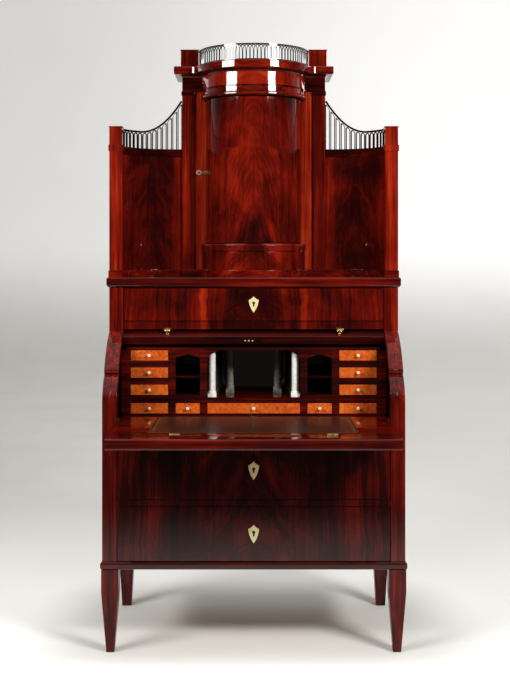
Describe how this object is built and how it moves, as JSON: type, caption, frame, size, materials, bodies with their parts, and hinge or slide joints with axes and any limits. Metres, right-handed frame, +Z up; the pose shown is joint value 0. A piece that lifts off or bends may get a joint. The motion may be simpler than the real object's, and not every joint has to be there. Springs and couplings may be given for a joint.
{
  "type": "cylinder desk",
  "caption": "Tall mahogany cylinder desk: roll-back cylinder, sliding writing slab with tilting leather board, fitted interior, drawers, and a cabinet top with bowed door and pierced galleries.",
  "frame": {"origin": "on the floor, at the middle of the desk's box with the writing slab drawn out", "axes": "+Z up, -Y out of the front of the desk, +X to the right of a person facing it"},
  "size_m": [1.038, 0.895, 2.095],
  "materials": {
    "mahogany": "French-polished dark mahogany",
    "flame_mahogany": "French-polished flame mahogany veneer",
    "bright_mahogany": "French-polished red mahogany",
    "burl": "polished burl veneer, bone knob",
    "pine": "plain waxed pine",
    "brass": "pale polished brass",
    "steel": "worn bright steel",
    "iron": "blackened iron",
    "leather": "dark brown leather",
    "mirror": "silvered glass",
    "alabaster": "polished alabaster",
    "dark_rail": "dark polished wood"
  },
  "bodies": {
    "carcase": {"apron_panel": "flame_mahogany", "architrave": "flame_mahogany", "base_moulding": "mahogany", "bottom_board": "pine", "cabinet_back": "pine", "cabinet_boards": "mahogany", "cabinet_plinth": "mahogany", "corner_blocks": "mahogany", "cornice": "flame_mahogany", "deck_moulding": "mahogany", "door_pivots": "brass", "drawer_runners": "pine", "frieze_band": "flame_mahogany", "frieze_rail": "mahogany", "front_rails": "mahogany", "front_stiles": "bright_mahogany", "interior_case": "mahogany", "interior_face": "mahogany", "interior_partitions": "mahogany", "legs": "bright_mahogany", "lower_back": "pine", "niche_columns": "alabaster", "niche_mirrors": "mirror", "outer_pillars": "bright_mahogany", "pilasters": "bright_mahogany", "pivot_brackets": "iron", "side_panels": "flame_mahogany", "top_gallery": "dark_rail", "top_gallery_rail": "dark_rail", "wing_boxes": "mahogany", "wing_galleries": "dark_rail", "wing_gallery_rails": "dark_rail", "wing_panels": "flame_mahogany"},
    "cylinder": {"cylinder_shell": "flame_mahogany", "cylinder_rail": "mahogany", "cylinder_arms": "iron", "cylinder_knobs": "brass"},
    "slab": {"writing_slab": "mahogany", "board_hinges": "brass"},
    "board": {"reading_board": "mahogany", "reading_leather": "leather"},
    "lower_drawer": {"lower_drawer": "flame_mahogany", "lower_drawer_escutcheon": "brass"},
    "upper_drawer": {"upper_drawer": "flame_mahogany", "upper_drawer_escutcheon": "brass"},
    "frieze_drawer": {"frieze_drawer": "flame_mahogany", "frieze_drawer_escutcheon": "brass"},
    "door": {"cabinet_door": "flame_mahogany"},
    "key": {"door_key": "steel"},
    "left_drawer_1": {"left_drawer_1": "burl"},
    "right_drawer_1": {"right_drawer_1": "burl"},
    "left_drawer_2": {"left_drawer_2": "burl"},
    "right_drawer_2": {"right_drawer_2": "burl"},
    "left_drawer_3": {"left_drawer_3": "burl"},
    "right_drawer_3": {"right_drawer_3": "burl"},
    "left_drawer_4": {"left_drawer_4": "burl"},
    "right_drawer_4": {"right_drawer_4": "burl"},
    "left_inner_drawer": {"left_inner_drawer": "burl"},
    "right_inner_drawer": {"right_inner_drawer": "burl"},
    "centre_drawer": {"centre_drawer": "burl"}
  },
  "joints": [
    {"name": "cylinder_roll", "type": "hinge", "parent": "carcase", "child": "cylinder", "pos_m": [0, 0.1845, 0.8], "axis": [-1, 0, 0], "range_deg": [-66, 0]},
    {"name": "slab_slide", "type": "slide", "parent": "carcase", "child": "slab", "axis": [0, -1, 0], "range_m": [-0.33, 0]},
    {"name": "reading_board_tilt", "type": "hinge", "parent": "slab", "child": "board", "pos_m": [0, -0.3525, 0.775], "axis": [1, 0, 0], "range_deg": [0, 45]},
    {"name": "lower_drawer_slide", "type": "slide", "parent": "carcase", "child": "lower_drawer", "axis": [0, -1, 0], "range_m": [0, 0.32]},
    {"name": "upper_drawer_slide", "type": "slide", "parent": "carcase", "child": "upper_drawer", "axis": [0, -1, 0], "range_m": [0, 0.32]},
    {"name": "frieze_drawer_slide", "type": "slide", "parent": "carcase", "child": "frieze_drawer", "axis": [0, -1, 0], "range_m": [0, 0.22]},
    {"name": "door_swing", "type": "hinge", "parent": "carcase", "child": "door", "pos_m": [0.1715, 0.2605, 1.64], "axis": [0, 0, 1], "range_deg": [0, 90]},
    {"name": "key_turn", "type": "hinge", "parent": "door", "child": "key", "pos_m": [-0.173, 0.2401, 1.64], "axis": [-0.9774, -0.2113, 0], "range_deg": [0, 180]},
    {"name": "left_drawer_1_slide", "type": "slide", "parent": "carcase", "child": "left_drawer_1", "axis": [0, -1, 0], "range_m": [0, 0.12]},
    {"name": "right_drawer_1_slide", "type": "slide", "parent": "carcase", "child": "right_drawer_1", "axis": [0, -1, 0], "range_m": [0, 0.12]},
    {"name": "left_drawer_2_slide", "type": "slide", "parent": "carcase", "child": "left_drawer_2", "axis": [0, -1, 0], "range_m": [0, 0.12]},
    {"name": "right_drawer_2_slide", "type": "slide", "parent": "carcase", "child": "right_drawer_2", "axis": [0, -1, 0], "range_m": [0, 0.12]},
    {"name": "left_drawer_3_slide", "type": "slide", "parent": "carcase", "child": "left_drawer_3", "axis": [0, -1, 0], "range_m": [0, 0.12]},
    {"name": "right_drawer_3_slide", "type": "slide", "parent": "carcase", "child": "right_drawer_3", "axis": [0, -1, 0], "range_m": [0, 0.12]},
    {"name": "left_drawer_4_slide", "type": "slide", "parent": "carcase", "child": "left_drawer_4", "axis": [0, -1, 0], "range_m": [0, 0.12]},
    {"name": "right_drawer_4_slide", "type": "slide", "parent": "carcase", "child": "right_drawer_4", "axis": [0, -1, 0], "range_m": [0, 0.12]},
    {"name": "left_inner_drawer_slide", "type": "slide", "parent": "carcase", "child": "left_inner_drawer", "axis": [0, -1, 0], "range_m": [0, 0.12]},
    {"name": "right_inner_drawer_slide", "type": "slide", "parent": "carcase", "child": "right_inner_drawer", "axis": [0, -1, 0], "range_m": [0, 0.12]},
    {"name": "centre_drawer_slide", "type": "slide", "parent": "carcase", "child": "centre_drawer", "axis": [0, -1, 0], "range_m": [0, 0.12]}
  ]
}
